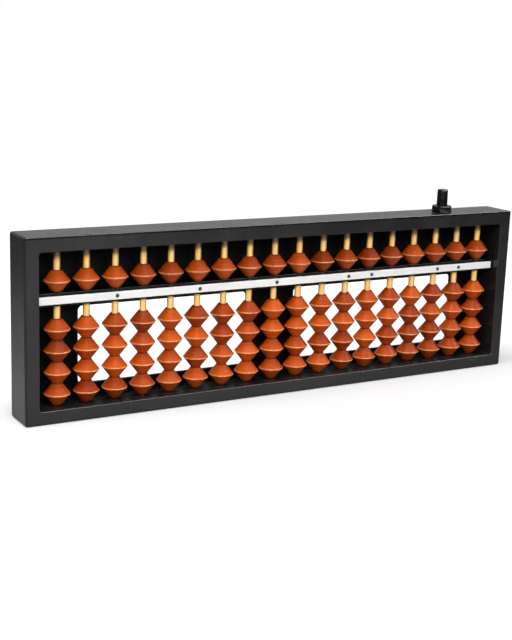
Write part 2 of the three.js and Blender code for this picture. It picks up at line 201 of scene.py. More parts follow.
def new_group(name, inputs, outputs):
    """A shader group with float or vector inputs and float outputs."""
    tree = bpy.data.node_groups.new(name, "ShaderNodeTree")
    for label, kind, value in inputs:
        socket = tree.interface.new_socket(label, in_out="INPUT", socket_type=kind)
        if value is not None:
            socket.default_value = value
    for label in outputs:
        tree.interface.new_socket(label, in_out="OUTPUT", socket_type="NodeSocketFloat")
    return tree, tree.nodes.new("NodeGroupInput"), tree.nodes.new("NodeGroupOutput")


def use_group(tree, group, inputs):
    return add(tree, "ShaderNodeGroup", inputs, node_tree=group).outputs


# ---------------------------------------------------------------- shared surface effects

def make_mould_grain():
    """The fine sparked texture of a mould, on a slow waviness."""
    tree, given, out = new_group(
        "mould_grain",
        [("Place", "NodeSocketVector", None), ("Grain", "NodeSocketFloat", 5000.0),
         ("Waviness", "NodeSocketFloat", 0.3)],
        ["Height", "Variation"],
    )
    fine = noise(tree, given.outputs["Place"], given.outputs["Grain"], 2.0, 0.6)
    slow = noise(tree, given.outputs["Place"], 60.0, 2.0)
    waves = maths(tree, "MULTIPLY", slow, given.outputs["Waviness"])
    tree.links.new(maths(tree, "ADD", maths(tree, "MULTIPLY", fine, 0.6), waves), out.inputs["Height"])
    tree.links.new(maths(tree, "MULTIPLY_ADD", slow, 0.6, maths(tree, "MULTIPLY", fine, 0.4)),
                   out.inputs["Variation"])
    return tree


def make_handling():
    """Dull finger marks and a few fine straight scratches."""
    tree, given, out = new_group(
        "handling",
        [("Place", "NodeSocketVector", None), ("Along", "NodeSocketVector", (1.0, 1.0, 1.0))],
        ["Smudge", "Scratch"],
    )
    place = given.outputs["Place"]
    clouds = noise(tree, place, 45.0, 4.0, 0.55)
    tree.links.new(in_range(tree, clouds, 0.46, 0.68), out.inputs["Smudge"])
    streaks = noise(tree, stretched(tree, place, given.outputs["Along"]), 900.0, 1.0)
    patches = in_range(tree, noise(tree, place, 25.0, 1.0), 0.5, 0.62)
    sharp = in_range(tree, streaks, 0.70, 0.74)
    tree.links.new(maths(tree, "MULTIPLY", sharp, patches), out.inputs["Scratch"])
    return tree


def make_edge_shade_and_polish():
    """How close a point lies to two or more faces of a box at once: the edges that handling polishes, which
    also get a painted dark reflection.
    """
    tree, given, out = new_group(
        "edge_shade_and_polish",
        [("Place", "NodeSocketVector", None), ("Centre", "NodeSocketVector", None),
         ("Half Size", "NodeSocketVector", None), ("Width", "NodeSocketFloat", 0.001)],
        ["Rub"],
    )
    away = vector_maths(tree, "SUBTRACT", given.outputs["Place"], given.outputs["Centre"])
    size = add(tree, "ShaderNodeVectorMath", {0: away}, operation="ABSOLUTE").outputs[0]
    depths = coordinates(tree, vector_maths(tree, "SUBTRACT", given.outputs["Half Size"], size))
    closeness = []
    for depth in depths:
        share = maths(tree, "DIVIDE", depth, given.outputs["Width"])
        closeness.append(in_range(tree, share, 0.0, 1.0, 1.0, 0.0))
    pairs = [maths(tree, "MULTIPLY", closeness[a], closeness[b]) for a, b in ((0, 1), (1, 2), (0, 2))]
    strongest = maths(tree, "MAXIMUM", maths(tree, "MAXIMUM", pairs[0], pairs[1]), pairs[2])
    broken = in_range(tree, noise(tree, given.outputs["Place"], 350.0, 3.0), 0.3, 0.5, 0.75, 1.0)
    tree.links.new(maths(tree, "MULTIPLY", in_range(tree, strongest, 0.15, 0.4), broken), out.inputs["Rub"])
    return tree


MOULD_GRAIN = make_mould_grain()
HANDLING = make_handling()
EDGE_SHADE_AND_POLISH = make_edge_shade_and_polish()


# ---------------------------------------------------------------- materials

def start_material(name, roughness, specular=0.5, metallic=0.0, coat=0.0, coat_roughness=0.05):
    """A material with one Principled shader. Returns it with its tree, shader and Object coordinates."""
    material = bpy.data.materials.new(name)
    material.use_nodes = True
    tree = material.node_tree
    shader = tree.nodes["Principled BSDF"]
    shader.inputs["Roughness"].default_value = roughness
    shader.inputs["Specular IOR Level"].default_value = specular
    shader.inputs["Metallic"].default_value = metallic
    shader.inputs["Coat Weight"].default_value = coat
    shader.inputs["Coat Roughness"].default_value = coat_roughness
    place = tree.nodes.new("ShaderNodeTexCoord").outputs["Object"]
    return material, tree, shader, place


def set_bump(tree, shader, height, strength, distance):
    bump = add(tree, "ShaderNodeBump", {"Height": height, "Strength": strength, "Distance": distance})
    tree.links.new(bump.outputs["Normal"], shader.inputs["Normal"])


def set_surface(tree, shader, colour, roughness):
    tree.links.new(colour, shader.inputs["Base Color"])
    tree.links.new(roughness, shader.inputs["Roughness"])


def scratched(tree, touched, share, colour, scratch):
    """A colour with fine scratches of another colour."""
    return blend_colour(tree, maths(tree, "MULTIPLY", touched["Scratch"], share), colour, scratch)


def moulded_plastic(name, dark, light, roughness, specular, grain=4200.0, bump=0.25,
                    edge_box=None, sheen_and_dust_from=None):
    """Black moulded plastic: sparked grain, finger marks, scratches and, on a box, polished edges with a
    painted dark reflection along them.
    Behind a given place along Y, the outer face is painted lighter grey: a painted sheen, uneven with dust
    and handling marks."""
    material, tree, shader, place = start_material(name, roughness, specular)
    skin = use_group(tree, MOULD_GRAIN, {"Place": place, "Grain": grain})
    touched = use_group(tree, HANDLING, {"Place": place, "Along": (0.04, 1.0, 1.0)})
    colour = blend_colour(tree, in_range(tree, skin["Variation"], 0.35, 0.65), dark, light)
    marks = maths(tree, "MULTIPLY", touched["Smudge"], 0.07)
    uneven = in_range(tree, skin["Variation"], 0.3, 0.7, roughness - 0.05, roughness + 0.05)
    rough = maths(tree, "ADD", uneven, marks)
    if edge_box:
        low, high = edge_box
        edge_effect = use_group(tree, EDGE_SHADE_AND_POLISH, {
            "Place": place, "Centre": (low + high) / 2, "Half Size": (high - low) / 2, "Width": 1.4 * MM,
        })
        # Painted dark reflection: along the box's edges the colour is painted nearly black; the edges are
        # also made glossier, as handling polishes them.
        colour = blend_colour(tree, edge_effect["Rub"], colour, grey(0.0008))
        rough = maths(tree, "SUBTRACT", rough, maths(tree, "MULTIPLY", edge_effect["Rub"], 0.08))
    if sheen_and_dust_from:
        depth = coordinates(tree, place)[1]
        dust = maths(tree, "MULTIPLY_ADD", touched["Smudge"], 0.4, 0.6)
        # Painted sheen: the outer face is painted lighter grey, unevenly, after the handling smudges.
        sheen_and_dust = maths(tree, "MULTIPLY", in_range(tree, depth, sheen_and_dust_from, sheen_and_dust_from + 0.3 * MM), dust)
        colour = blend_colour(tree, sheen_and_dust, colour, (0.022, 0.022, 0.023, 1))
    colour = scratched(tree, touched, 0.35, colour, grey(0.09))
    set_surface(tree, shader, colour, rough)
    set_bump(tree, shader, skin["Height"], bump, 0.04 * MM)
    return material


def make_bead_finish():
    """Orange-brown beads, turned smooth: each a little lighter or darker, with faint turning lines."""
    material, tree, shader, place = start_material("bead_orange", 0.24, 0.26)
    tone = attribute(tree, "bead_tone")
    clouds = noise(tree, place, 220.0, 3.0)
    share = maths(tree, "ADD", maths(tree, "MULTIPLY", tone, 0.75), maths(tree, "MULTIPLY", clouds, 0.35))
    colour = blend_colour(tree, in_range(tree, share, 0.15, 0.95),
                          (0.22, 0.024, 0.001, 1), (0.46, 0.070, 0.004, 1))
    lines = noise(tree, stretched(tree, place, (30.0, 30.0, 5200.0)), 1.0, 2.0, 0.7)
    colour = blend_colour(tree, in_range(tree, lines, 0.45, 0.7, 0.0, 0.18), colour, (0.16, 0.020, 0.003, 1))
    # Painted highlight: a pale band round each rim, in patches.
    mark = attribute(tree, "bead_mark")
    patchy = in_range(tree, noise(tree, place, 500.0, 3.0), 0.3, 0.65, 0.35, 0.95)
    colour = blend_colour(tree, maths(tree, "MULTIPLY", in_range(tree, mark, 0.0, 1.0), patchy), colour,
                          (0.74, 0.27, 0.10, 1))
    # Painted shade at the necks, where the beads meet.
    colour = blend_colour(tree, in_range(tree, mark, 0.0, -1.0, 0.0, 0.8), colour, (0.035, 0.008, 0.003, 1))
    touched = use_group(tree, HANDLING, {"Place": place, "Along": (1.0, 1.0, 0.05)})
    rough = maths(tree, "ADD", in_range(tree, lines, 0.3, 0.7, 0.22, 0.29),
                  maths(tree, "MULTIPLY", touched["Smudge"], 0.08))
    set_surface(tree, shader, colour, rough)
    set_bump(tree, shader, lines, 0.22, 0.02 * MM)
    return material


def make_bamboo():
    """Pale bamboo: long fibres in gold and tan, a few dark ones, each rod from another part of the cane.
    Just below the top rail they are painted dark: a painted shadow of the rail."""
    material, tree, shader, place = start_material("bamboo", 0.40, 0.8)
    tone = attribute(tree, "rod_tone")
    offset = add(tree, "ShaderNodeCombineXYZ", {2: maths(tree, "MULTIPLY", tone, 3.0)}).outputs[0]
    own = vector_maths(tree, "ADD", place, offset)
    fibres = noise(tree, stretched(tree, own, (2600.0, 2600.0, 26.0)), 1.0, 4.0, 0.65)
    broad = noise(tree, stretched(tree, own, (700.0, 700.0, 9.0)), 1.0, 2.0)
    colour = blend_colour(tree, in_range(tree, broad, 0.35, 0.65), (1.0, 0.53, 0.10, 1), (1.0, 0.70, 0.22, 1))
    dark = in_range(tree, fibres, 0.55, 0.75, 0.0, 0.6)
    colour = blend_colour(tree, dark, colour, (0.62, 0.30, 0.06, 1))
    colour = blend_colour(tree, maths(tree, "MULTIPLY", tone, 0.25), colour, (0.80, 0.47, 0.15, 1))
    # Painted shade: the rods turn darker brown towards their edges as seen.
    turned_away = add(tree, "ShaderNodeLayerWeight", {"Blend": 0.5}).outputs["Facing"]
    sides = in_range(tree, turned_away, 0.18, 0.62, 0.0, 0.9)
    colour = blend_colour(tree, sides, colour, (0.30, 0.105, 0.012, 1))
    height = coordinates(tree, place)[2]
    # Painted shadow of the top rail: dark from about 3 mm below the rail upward, fading out by 4.8 mm below
    # it.
    rail_shadow = in_range(tree, height, INNER_HIGH - 4.8 * MM, INNER_HIGH - 3.0 * MM, 0.0, 0.85)
    colour = blend_colour(tree, rail_shadow, colour, (0.05, 0.015, 0.003, 1))
    set_surface(tree, shader, colour, in_range(tree, fibres, 0.3, 0.7, 0.34, 0.50))
    set_bump(tree, shader, fibres, 0.35, 0.03 * MM)
    return material


def make_strip_finish():
    """White plastic facing, faintly clouded, with finger marks."""
    material, tree, shader, place = start_material("strip_white", 0.3, 0.5)
    skin = use_group(tree, MOULD_GRAIN, {"Place": place, "Grain": 3000.0, "Waviness": 0.5})
    touched = use_group(tree, HANDLING, {"Place": place, "Along": (0.03, 1.0, 1.0)})
    colour = blend_colour(tree, in_range(tree, skin["Variation"], 0.3, 0.7),
                          (0.66, 0.66, 0.645, 1), (0.72, 0.72, 0.705, 1))
    colour = scratched(tree, touched, 0.5, colour, (0.62, 0.62, 0.60, 1))
    set_surface(tree, shader, colour, in_range(tree, touched["Smudge"], 0.0, 1.0, 0.26, 0.40))
    set_bump(tree, shader, skin["Height"], 0.15, 0.03 * MM)
    return material


def make_gloss_black(name, roughness, specular, bump):
    """Polished black plastic with hairline scratches."""
    material, tree, shader, place = start_material(name, roughness, specular, coat=0.06, coat_roughness=0.06)
    skin = use_group(tree, MOULD_GRAIN, {"Place": place, "Grain": 900.0, "Waviness": 0.8})
    touched = use_group(tree, HANDLING, {"Place": place, "Along": (0.05, 1.0, 1.0)})
    colour = blend_colour(tree, skin["Variation"], (0.0015, 0.0015, 0.0018, 1), (0.004, 0.004, 0.0045, 1))
    colour = scratched(tree, touched, 0.3, colour, grey(0.08))
    set_surface(tree, shader, colour, maths(tree, "MULTIPLY_ADD", touched["Smudge"], 0.10, roughness))
    set_bump(tree, shader, skin["Height"], bump, 0.05 * MM)
    return material


def make_dot_paint():
    """Black printing ink, slightly speckled."""
    material, tree, shader, place = start_material("dot_paint", 0.5, 0.4)
    specks = noise(tree, place, 3000.0, 3.0)
    set_surface(tree, shader, blend_colour(tree, specks, grey(0.004), grey(0.02)),
                in_range(tree, specks, 0.3, 0.7, 0.4, 0.6))
    return material


def make_plated_steel():
    """Bright zinc plating, drawn marks and a little tarnish."""
    material, tree, shader, place = start_material("plated_steel", 0.3, 0.5, metallic=1.0)
    tarnish = noise(tree, place, 700.0, 4.0)
    drawn = noise(tree, stretched(tree, place, (1200.0, 9000.0, 1200.0)), 1.0, 2.0)
    colour = blend_colour(tree, in_range(tree, tarnish, 0.45, 0.7),
                          (0.62, 0.63, 0.65, 1), (0.42, 0.40, 0.37, 1))
    set_surface(tree, shader, colour, in_range(tree, drawn, 0.3, 0.7, 0.22, 0.42))
    set_bump(tree, shader, drawn, 0.2, 0.02 * MM)
    return material


def make_acetal():
    """Milky gear plastic."""
    material, tree, shader, place = start_material("gear_acetal", 0.38, 0.5)
    clouds = noise(tree, place, 500.0, 3.0)
    colour = blend_colour(tree, clouds, (0.70, 0.68, 0.60, 1), (0.84, 0.83, 0.77, 1))
    set_surface(tree, shader, colour, in_range(tree, clouds, 0.3, 0.7, 0.32, 0.46))
    set_bump(tree, shader, clouds, 0.15, 0.03 * MM)
    return material


def make_pad_rubber():
    """Dusty black rubber with a fine pebble."""
    material, tree, shader, place = start_material("pad_rubber", 0.85, 0.3)
    pebble = add(tree, "ShaderNodeTexVoronoi", {"Vector": place, "Scale": 2200.0}).outputs["Distance"]
    dust = in_range(tree, noise(tree, place, 300.0, 4.0), 0.45, 0.75, 0.0, 0.5)
    colour = blend_colour(tree, dust, grey(0.012), (0.06, 0.058, 0.055, 1))
    set_surface(tree, shader, colour, in_range(tree, dust, 0.0, 0.5, 0.78, 0.95))
    set_bump(tree, shader, pebble, 0.5, 0.08 * MM)
    return material


def make_floor_finish():
    """Pale paper, lit from within where it is seen directly, so that it runs into the white air behind.
    Glossy surfaces see it fall off to the right and to the back, as under a lamp on the left."""
    material, tree, shader, place = start_material("studio_floor", 0.8, 0.1)
    paper = blend_colour(tree, noise(tree, place, 3.0), grey(0.30), grey(0.32))
    path = tree.nodes.new("ShaderNodeLightPath").outputs
    spot = coordinates(tree, place)
    fall = maths(tree, "MAXIMUM", in_range(tree, spot[0], 0.02, 0.34, 0.0, 0.8),
                 in_range(tree, spot[1], 0.0, 0.34, 0.0, 0.8))
    paper = blend_colour(tree, maths(tree, "MULTIPLY", path["Is Glossy Ray"], fall), paper, grey(0.03))
    tree.links.new(paper, shader.inputs["Base Color"])
    away = add(tree, "ShaderNodeVectorMath", {0: place}, operation="LENGTH").outputs["Value"]
    glow = maths(tree, "MAXIMUM", in_range(tree, away, 0.0, 1.2, FLOOR_GLOW, 1.0),
                 in_range(tree, spot[1], 0.0, 0.08, FLOOR_GLOW, FLOOR_GLOW_BEHIND))
    shader.inputs["Emission Color"].default_value = (1, 1, 1, 1)
    tree.links.new(maths(tree, "MULTIPLY", path["Is Camera Ray"], glow), shader.inputs["Emission Strength"])
    return material


CASE_BLACK = moulded_plastic("case_black", (0.0060, 0.0060, 0.0063, 1), (0.0085, 0.0085, 0.0088, 1),
                             0.22, 0.5, edge_box=(CASE_LOW, CASE_HIGH))
PANEL_BLACK = moulded_plastic("panel_black", grey(0.0015), grey(0.003), 0.55, 0.05,
                              grain=3000.0, bump=0.4, sheen_and_dust_from=PANEL_HIGH.y - 0.4 * MM)
BEAM_BLACK = make_gloss_black("beam_gloss", 0.16, 0.2, 0.12)
BUTTON_BLACK = make_gloss_black("button_gloss", 0.10, 0.4, 0.06)
STRIP_WHITE = make_strip_finish()
DOT_PAINT = make_dot_paint()
BEAD_ORANGE = make_bead_finish()
BAMBOO = make_bamboo()
PLATED_STEEL = make_plated_steel()
GEAR_ACETAL = make_acetal()
PAD_RUBBER = make_pad_rubber()


# ---------------------------------------------------------------- mesh helpers

def object_from(name, shape, material=None):
    """A new object at the origin, from a mesh or a bmesh."""
    mesh = shape
    if isinstance(shape, bmesh.types.BMesh):
        mesh = bpy.data.meshes.new(name)
        shape.to_mesh(mesh)
        shape.free()
    made = bpy.data.objects.new(name, mesh)
    bpy.context.scene.collection.objects.link(made)
    if material:
        made.data.materials.clear()
        made.data.materials.append(material)
    return made


def finished_mesh(obj, name):
    """The object's mesh with its modifiers applied. The object itself is removed."""
    bpy.context.view_layer.update()
    evaluated = obj.evaluated_get(bpy.context.evaluated_depsgraph_get())
    mesh = bpy.data.meshes.new_from_object(evaluated)
    mesh.name = name
    bpy.data.objects.remove(obj)
    return mesh


def block(low, high):
    """A box between two opposite corners."""
    shape = bmesh.new()
    bmesh.ops.create_cube(shape, size=1)
    low, high = Vector(low), Vector(high)
    size = high - low
    for vertex in shape.verts:
        vertex.co = low + Vector((vertex.co[i] + 0.5) * size[i] for i in range(3))
    return shape


def prism_y(outline, near, far):
    """A closed outline in X and Z, anticlockwise as seen from the front, made solid along Y."""
    shape = bmesh.new()
    front = [shape.verts.new((x, near, z)) for x, z in outline]
    back = [shape.verts.new((x, far, z)) for x, z in outline]
    shape.faces.new(front)
    shape.faces.new(back[::-1])
    for i in range(len(outline)):
        j = (i + 1) % len(outline)
        shape.faces.new((front[j], front[i], back[i], back[j]))
    return shape


def rounded_outline(left, right, low, high, radius, steps=6):
    points = []
    corners = ((right - radius, low + radius, -90), (right - radius, high - radius, 0),
               (left + radius, high - radius, 90), (left + radius, low + radius, 180))
    for x, z, start in corners:
        for step in range(steps + 1):
            angle = math.radians(start + 90 * step / steps)
            points.append((x + radius * math.cos(angle), z + radius * math.sin(angle)))
    return points


def turned(profile, sides, axis_at=(0, 0, 0), along="Z"):
    """A closed profile of (radius, height) points turned round an axis. Points on the axis become poles."""
    shape = bmesh.new()
    rings = []
    for radius, height in profile:
        count = 1 if radius < 1e-9 else sides
        ring = []
        for step in range(count):
            angle = 2 * math.pi * step / sides
            ring.append(shape.verts.new((radius * math.cos(angle), radius * math.sin(angle), height)))
        rings.append(ring)
    for first, second in zip(rings, rings[1:] + rings[:1]):
        if len(first) == len(second) == 1:
            continue
        for step in range(sides):
            follow = (step + 1) % sides
            corners = [first[step % len(first)], first[follow % len(first)],
                       second[follow % len(second)], second[step % len(second)]]
            shape.faces.new(list(dict.fromkeys(corners)))
    turn = {"X": Matrix.Rotation(math.pi / 2, 4, "Y"), "Y": Matrix.Rotation(-math.pi / 2, 4, "X"),
            "Z": Matrix.Identity(4)}[along]
    bmesh.ops.transform(shape, matrix=Matrix.Translation(axis_at) @ turn, verts=shape.verts)
    bmesh.ops.recalc_face_normals(shape, faces=shape.faces)
    return shape


def merged(shapes):
    """Several bmeshes as one, each still its own closed shell."""
    total = bmesh.new()
    for shape in shapes:
        mesh = bpy.data.meshes.new("part")
        shape.to_mesh(mesh)
        shape.free()
        total.from_mesh(mesh)
        bpy.data.meshes.remove(mesh)
    return total


def combined(name, base, others, operation="DIFFERENCE"):
    """The base shape cut by, or joined to, other shapes, one after another."""
    body = object_from(name, base)
    tools = [object_from("tool", shape) for shape in others]
    for tool in tools:
        step = body.modifiers.new("step", "BOOLEAN")
        step.operation = operation
        step.solver = "EXACT"
        step.object = tool
    mesh = finished_mesh(body, name)
    for tool in tools:
        bpy.data.objects.remove(tool)
    shape = bmesh.new()
    shape.from_mesh(mesh)
    bpy.data.meshes.remove(mesh)
    bmesh.ops.remove_doubles(shape, verts=shape.verts, dist=WELD)
    bmesh.ops.dissolve_limit(shape, angle_limit=math.radians(1), verts=shape.verts, edges=shape.edges)
    return shape


def softened(name, shape, material, width, rule=None, segments=3):
    """Rounds a shape's edges. rule(edge) gives each sharp edge's share of the full width."""
    weights = shape.edges.layers.float.new("bevel_weight_edge")
    for edge in shape.edges:
        sharp = len(edge.link_faces) == 2 and edge.calc_face_angle(0) > math.radians(30)
        edge[weights] = (rule(edge) if rule else 1.0) if sharp else 0.0
    for face in shape.faces:
        face.smooth = True
    body = object_from(name, shape, material)
    rounding = body.modifiers.new("rounding", "BEVEL")
    rounding.limit_method = "WEIGHT"
    rounding.width = width
    rounding.segments = segments
    rounding.harden_normals = True
    rounding.use_clamp_overlap = False
    body.data.set_sharp_from_angle(angle=math.radians(40))
    return object_from(name, finished_mesh(body, name), material)


def cad_shape(node, keep_point=None, keep_normal=None):
    """A merged copy of a CAD node's mesh, or of its part on the side of a plane that the normal points to."""
    shape = bmesh.new()
    shape.from_mesh(NODES[node].data)
    bmesh.ops.remove_doubles(shape, verts=shape.verts, dist=WELD)
    bmesh.ops.dissolve_limit(shape, angle_limit=math.radians(1), verts=shape.verts, edges=shape.edges)
    if keep_point is not None:
        cut = bmesh.ops.bisect_plane(shape, geom=shape.verts[:] + shape.edges[:] + shape.faces[:],
                                     plane_co=keep_point, plane_no=keep_normal, clear_inner=True)
        rim = [item for item in cut["geom_cut"] if isinstance(item, bmesh.types.BMEdge)]
        bmesh.ops.edgeloop_fill(shape, edges=rim)
        bmesh.ops.recalc_face_normals(shape, faces=shape.faces)
    return shape


def settle(piece, body, slot, *nodes):
    """Puts a finished piece on its body, in place of its CAD nodes."""
    if nodes:
        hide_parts(*nodes)
    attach(piece, body)
    return piece


# ---------------------------------------------------------------- case

def near(value, target, reach=0.02 * MM):
    return abs(value - target) < reach


def rod_holes(low, high, radius=ROD_HOLE, sides=28):
    profile = [(0, low), (radius, low), (radius, high), (0, high)]
    return [turned(profile, sides, (x, ROD_Y, 0)) for x in COLUMN_X]


def side_block(side, inner_x, outer_x, front, back, low, high):
    """A box in the left or the right side rail."""
    left, right = sorted((side * inner_x, side * outer_x))
    return block((left, front, low), (right, back, high))


def make_case():
    """The moulded case: four rails, a rebate for the panel, side channels and the button's hole."""
    channel_in = INNER_X + 1.3 * MM
    channel_out = CASE_HIGH.x - 1.5 * MM
    behind = REBATE_Y + MM
    cuts = [
        prism_y(rounded_outline(-INNER_X, INNER_X, INNER_LOW, INNER_HIGH, CASE_ROUNDING),
                CASE_LOW.y - MM, CASE_HIGH.y + MM),
        block((-CASE_HIGH.x + REBATE_LIP, REBATE_Y, CASE_LOW.z + REBATE_LIP),
              (CASE_HIGH.x - REBATE_LIP, CASE_HIGH.y + MM, CASE_HIGH.z - REBATE_LIP)),
    ]
    for side in (-1, 1):
        cuts.append(side_block(side, channel_in, channel_out, CHANNEL_FRONT, behind,
                               CHANNEL_LOW, CHANNEL_HIGH))
        cuts.append(side_block(side, INNER_X - MM, channel_in + 0.1 * MM, BEAM_HIGH.y, behind,
                               LOWER_BAR_LOW - PRESS_TRAVEL - 0.5 * MM,
                               UPPER_BAR_LOW + PRESS_TRAVEL + 1.5 * MM))
    stem, collar, above = 3.15 * MM, 4.5 * MM, CASE_HIGH.z + MM
    hole = [(0, PUSH_ROD_LOW), (stem, PUSH_ROD_LOW), (stem, COLLAR_SEAT), (collar, COLLAR_SEAT),
            (collar, above), (0, above)]
    cuts.append(turned(hole, 40, BUTTON_AXIS))
    cuts.append(merged(rod_holes(INNER_LOW - ROD_SOCKET, INNER_LOW + MM)
                       + rod_holes(INNER_HIGH - MM, INNER_HIGH + ROD_SOCKET)))
    cuts.append(block((97.2 * MM, -5.5 * MM, PUSH_ROD_LOW), (103.7 * MM, behind, COLLAR_SEAT)))
    shape = combined("case", block(CASE_LOW, CASE_HIGH), cuts)

    def rounding(edge):
        """Full on the outer edges, less at the back, slight round the front opening, none inside."""
        spot = (edge.verts[0].co + edge.verts[1].co) / 2
        outside = [near(abs(spot.x), CASE_HIGH.x), near(spot.y, CASE_LOW.y) or near(spot.y, CASE_HIGH.y),
                   near(spot.z, CASE_LOW.z) or near(spot.z, CASE_HIGH.z)]
        if sum(outside) >= 2:
            return 0.6 if near(spot.y, CASE_HIGH.y) else 1.0
        return 0.32 if near(spot.y, CASE_LOW.y) else 0.0

    case = softened("case", shape, CASE_BLACK, CASE_ROUNDING, rounding, segments=4)
    # The bevel overshoots the box by 0.1 mm at one corner.
    for vertex in case.data.vertices:
        for axis in range(3):
            vertex.co[axis] = min(max(vertex.co[axis], CASE_LOW[axis]), CASE_HIGH[axis])
    return settle(case, "case", "black_plastic", "frame")


def make_panel():
    """The back panel, with its two windows, screw seats and pad seats."""
    cuts = []
    for left, right in WINDOW_EDGES:
        outline = rounded_outline(left, right, WINDOW_LOW, WINDOW_HIGH, WINDOW_ROUNDING, steps=8)
        cuts.append(prism_y(outline, PANEL_LOW.y - MM, PANEL_HIGH.y + MM))
    for number in range(1, 5):
        screw = middle(f"panel_screw_{number}")
        pad = middle(f"rubber_pad_{number}")
        seat = [(0, -MM), (1.2 * MM, -MM), (1.2 * MM, 0.8 * MM), (2 * MM, 0.8 * MM),
                (2 * MM, 3 * MM), (0, 3 * MM)]
        cuts.append(turned(seat, 28, (screw.x, PANEL_LOW.y, screw.z), "Y"))
        pad_seat = [(0, 1.4 * MM), (4.3 * MM, 1.4 * MM), (4.3 * MM, 3 * MM), (0, 3 * MM)]
        cuts.append(turned(pad_seat, 36, (pad.x, PANEL_LOW.y, pad.z), "Y"))
    outer = rounded_outline(PANEL_LOW.x, PANEL_HIGH.x, PANEL_LOW.z, PANEL_HIGH.z, CASE_ROUNDING)
    shape = combined("panel", prism_y(outer, PANEL_LOW.y, PANEL_HIGH.y), cuts)
    panel = softened("panel_back", shape, PANEL_BLACK, 0.25 * MM)
    return settle(panel, "case", "panel_plastic", "back_panel")


def make_beam():
    """The channel-shaped beam, glossy on top, and the white strip on its front."""
    hollow = block((BEAM_LOW.x - MM, BEAM_LOW.y + 0.9 * MM, BEAM_LOW.z + 0.8 * MM),
                   (BEAM_HIGH.x + MM, BEAM_HIGH.y + MM, BEAM_HIGH.z - 0.8 * MM))
    cuts = [hollow] + rod_holes(BEAM_LOW.z - MM, BEAM_HIGH.z + MM)
    beam = softened("beam_channel", combined("beam", block(BEAM_LOW, BEAM_HIGH), cuts), BEAM_BLACK, 0.18 * MM)
    settle(beam, "case", "black_plastic", "beam")
    strip = softened("strip_facing", block(STRIP_LOW, STRIP_HIGH), STRIP_WHITE, 0.25 * MM)
    settle(strip, "case", "white_strip", "beam_strip")


# ---------------------------------------------------------------- repeated pieces, by geometry nodes

def new_geometry_tree(name, inputs):
    tree = bpy.data.node_groups.new(name, "GeometryNodeTree")
    tree.interface.new_socket("Geometry", in_out="OUTPUT", socket_type="NodeSocketGeometry")
    for label, kind in inputs:
        tree.interface.new_socket(label, in_out="INPUT", socket_type=kind)
    return tree, tree.nodes.new("NodeGroupInput"), tree.nodes.new("NodeGroupOutput")


def finish_tree(tree, given, out, geometry):
    """Gives the geometry its material and makes it the tree's result."""
    dressed = add(tree, "GeometryNodeSetMaterial", {
        "Geometry": geometry, "Material": given.outputs["Material"],
    })
    tree.links.new(dressed.outputs["Geometry"], out.inputs["Geometry"])
    return tree


def run_tree(tree, name, values):
    """The mesh that a tree makes with these input values, by name."""
    holder = object_from(name, bpy.data.meshes.new(name))
    modifier = holder.modifiers.new(tree.name, "NODES")
    modifier.node_group = tree
    inputs = [item for item in tree.interface.items_tree if item.in_out == "INPUT"]
    identifiers = {item.name: item.identifier for item in inputs}
    for label, value in values.items():
        modifier[identifiers[label]] = value
    return finished_mesh(holder, name)


def make_row_tree():
    """Copies of one shape in a straight row, each with its own tone and a random turn about Z."""
    tree, given, out = new_geometry_tree("row_of_copies", [
        ("Shape", "NodeSocketObject"), ("Count", "NodeSocketInt"), ("Start", "NodeSocketVector"),
        ("Step", "NodeSocketVector"), ("Seed", "NodeSocketInt"), ("Tone Name", "NodeSocketString"),
        ("Material", "NodeSocketMaterial"),
    ])
    line = add(tree, "GeometryNodeMeshLine", {
        "Count": given.outputs["Count"], "Start Location": given.outputs["Start"],
        "Offset": given.outputs["Step"],
    }, mode="OFFSET")
    source = add(tree, "GeometryNodeObjectInfo", {"Object": given.outputs["Shape"]})
    turn = add(tree, "FunctionNodeRandomValue", {"Seed": given.outputs["Seed"]}, data_type="FLOAT_VECTOR")
    turn.inputs[0].default_value = (0, 0, 0)
    turn.inputs[1].default_value = (0, 0, 2 * math.pi)
    copies = add(tree, "GeometryNodeInstanceOnPoints", {
        "Points": line.outputs["Mesh"], "Instance": source.outputs["Geometry"],
        "Rotation": turn.outputs[0],
    })
    tone = add(tree, "FunctionNodeRandomValue", {"Seed": given.outputs["Seed"]}, data_type="FLOAT")
    stored = add(tree, "GeometryNodeStoreNamedAttribute", {
        "Geometry": copies.outputs["Instances"], "Name": given.outputs["Tone Name"],
    }, data_type="FLOAT", domain="INSTANCE")
    real = add(tree, "GeometryNodeRealizeInstances", {"Geometry": stored.outputs["Geometry"]})
    tree.links.new(tone.outputs[1], stored.inputs["Value"])
    return finish_tree(tree, given, out, real.outputs["Geometry"])


def make_scatter_tree():
    """One copy of a shape on every point of another object."""
    tree, given, out = new_geometry_tree("copies_on_points", [
        ("Shape", "NodeSocketObject"), ("Points", "NodeSocketObject"), ("Material", "NodeSocketMaterial"),
    ])
    source = add(tree, "GeometryNodeObjectInfo", {"Object": given.outputs["Shape"]})
    points = add(tree, "GeometryNodeObjectInfo", {"Object": given.outputs["Points"]})
    copies = add(tree, "GeometryNodeInstanceOnPoints", {
        "Points": points.outputs["Geometry"], "Instance": source.outputs["Geometry"],
    })
    real = add(tree, "GeometryNodeRealizeInstances", {"Geometry": copies.outputs["Instances"]})
    return finish_tree(tree, given, out, real.outputs["Geometry"])


